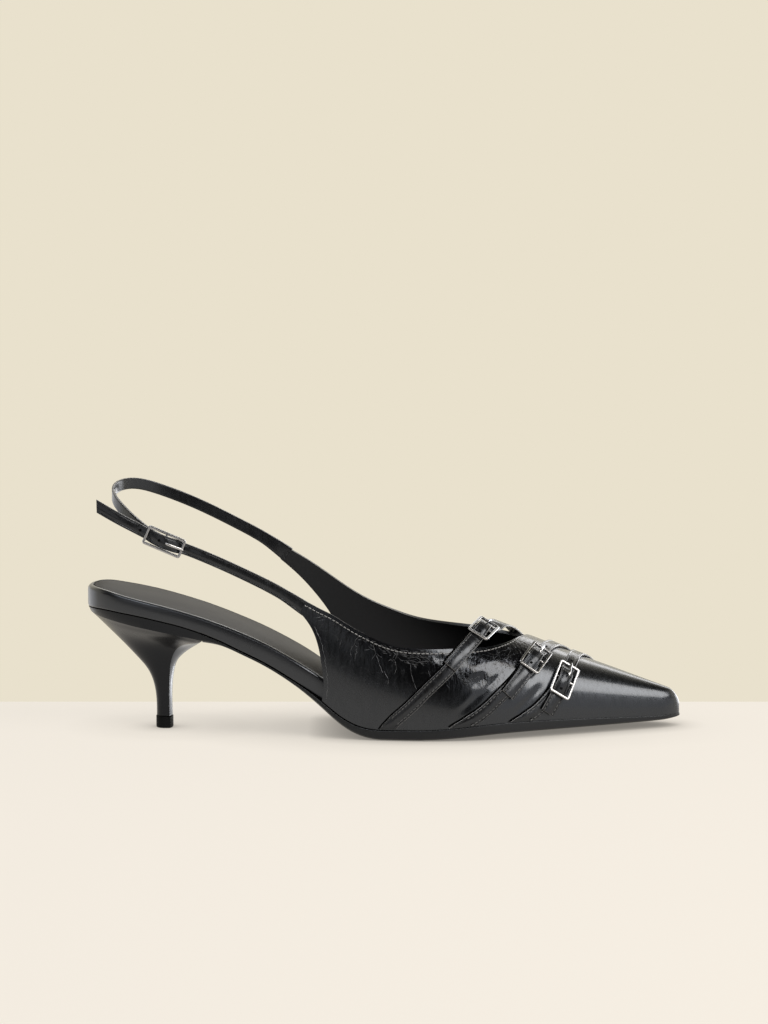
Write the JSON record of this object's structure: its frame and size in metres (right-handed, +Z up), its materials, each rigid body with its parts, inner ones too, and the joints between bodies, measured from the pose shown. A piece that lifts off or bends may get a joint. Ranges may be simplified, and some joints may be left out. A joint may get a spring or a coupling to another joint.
{
  "type": "kitten heel shoe",
  "caption": "Pointed slingback kitten heel shoe for the right foot, hollow black leather upper with buckled straps across the vamp and a buckled strap round the heel.",
  "frame": {"origin": "middle of the bounding box on the floor, under the shoe", "axes": "+X along the shoe from the heel to the toe, +Y to the inner side of the foot, +Z up"},
  "size_m": [0.2626, 0.077, 0.11],
  "materials": {
    "upper": "glossy crinkled",
    "vamp_straps": "glossy crinkled",
    "insole": "smooth gloss",
    "sock": "satin",
    "heel": "gloss",
    "outsole": "satin",
    "top_piece": "matte",
    "buckles": "polished"
  },
  "bodies": {
    "root": {"outsole": "outsole", "insole": "insole", "insock": "sock", "heel": "heel", "heel_top_piece": "top_piece", "upper": "upper", "sling_strap": "upper", "billet_strap": "upper", "vamp_band_1": "vamp_straps", "vamp_band_2": "vamp_straps", "vamp_band_3": "vamp_straps", "vamp_strap_1": "vamp_straps", "vamp_strap_2": "vamp_straps", "vamp_strap_3": "vamp_straps", "vamp_buckle_1": "buckles", "vamp_buckle_2": "buckles", "vamp_buckle_3": "buckles", "sling_buckle": "buckles", "vamp_prong_1": "buckles", "vamp_prong_2": "buckles", "vamp_prong_3": "buckles", "sling_prong": "buckles"}
  },
  "joints": []
}
